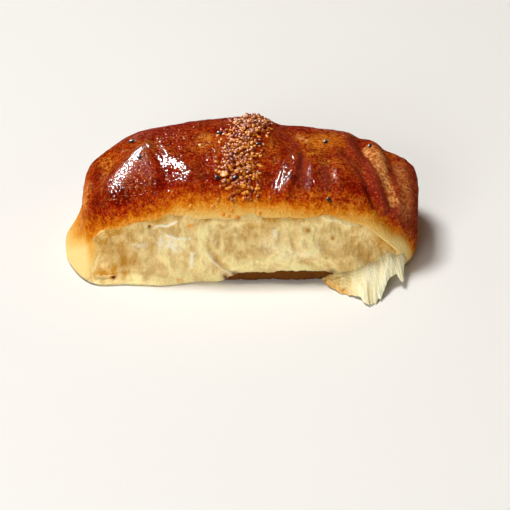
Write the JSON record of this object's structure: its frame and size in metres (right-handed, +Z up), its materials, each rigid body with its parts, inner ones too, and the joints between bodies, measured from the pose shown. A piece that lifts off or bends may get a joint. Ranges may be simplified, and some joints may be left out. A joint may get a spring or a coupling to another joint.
{
  "type": "bread roll",
  "caption": "Long glazed bread roll torn off along one side, with a domed crust, a seed band over the crown and a torn skin hanging at the foot.",
  "frame": {"origin": "middle of the bounding box, on the surface the roll rests on", "axes": "+X along the roll, to the right as the torn face is seen; +Y from the torn face to the back; +Z up"},
  "size_m": [0.1763, 0.1124, 0.0609],
  "materials": {
    "baked_bread": "satin",
    "sesame_seed": "satin",
    "nigella_seed": "matte"
  },
  "bodies": {
    "root": {"bread_roll": "baked_bread"}
  },
  "joints": []
}
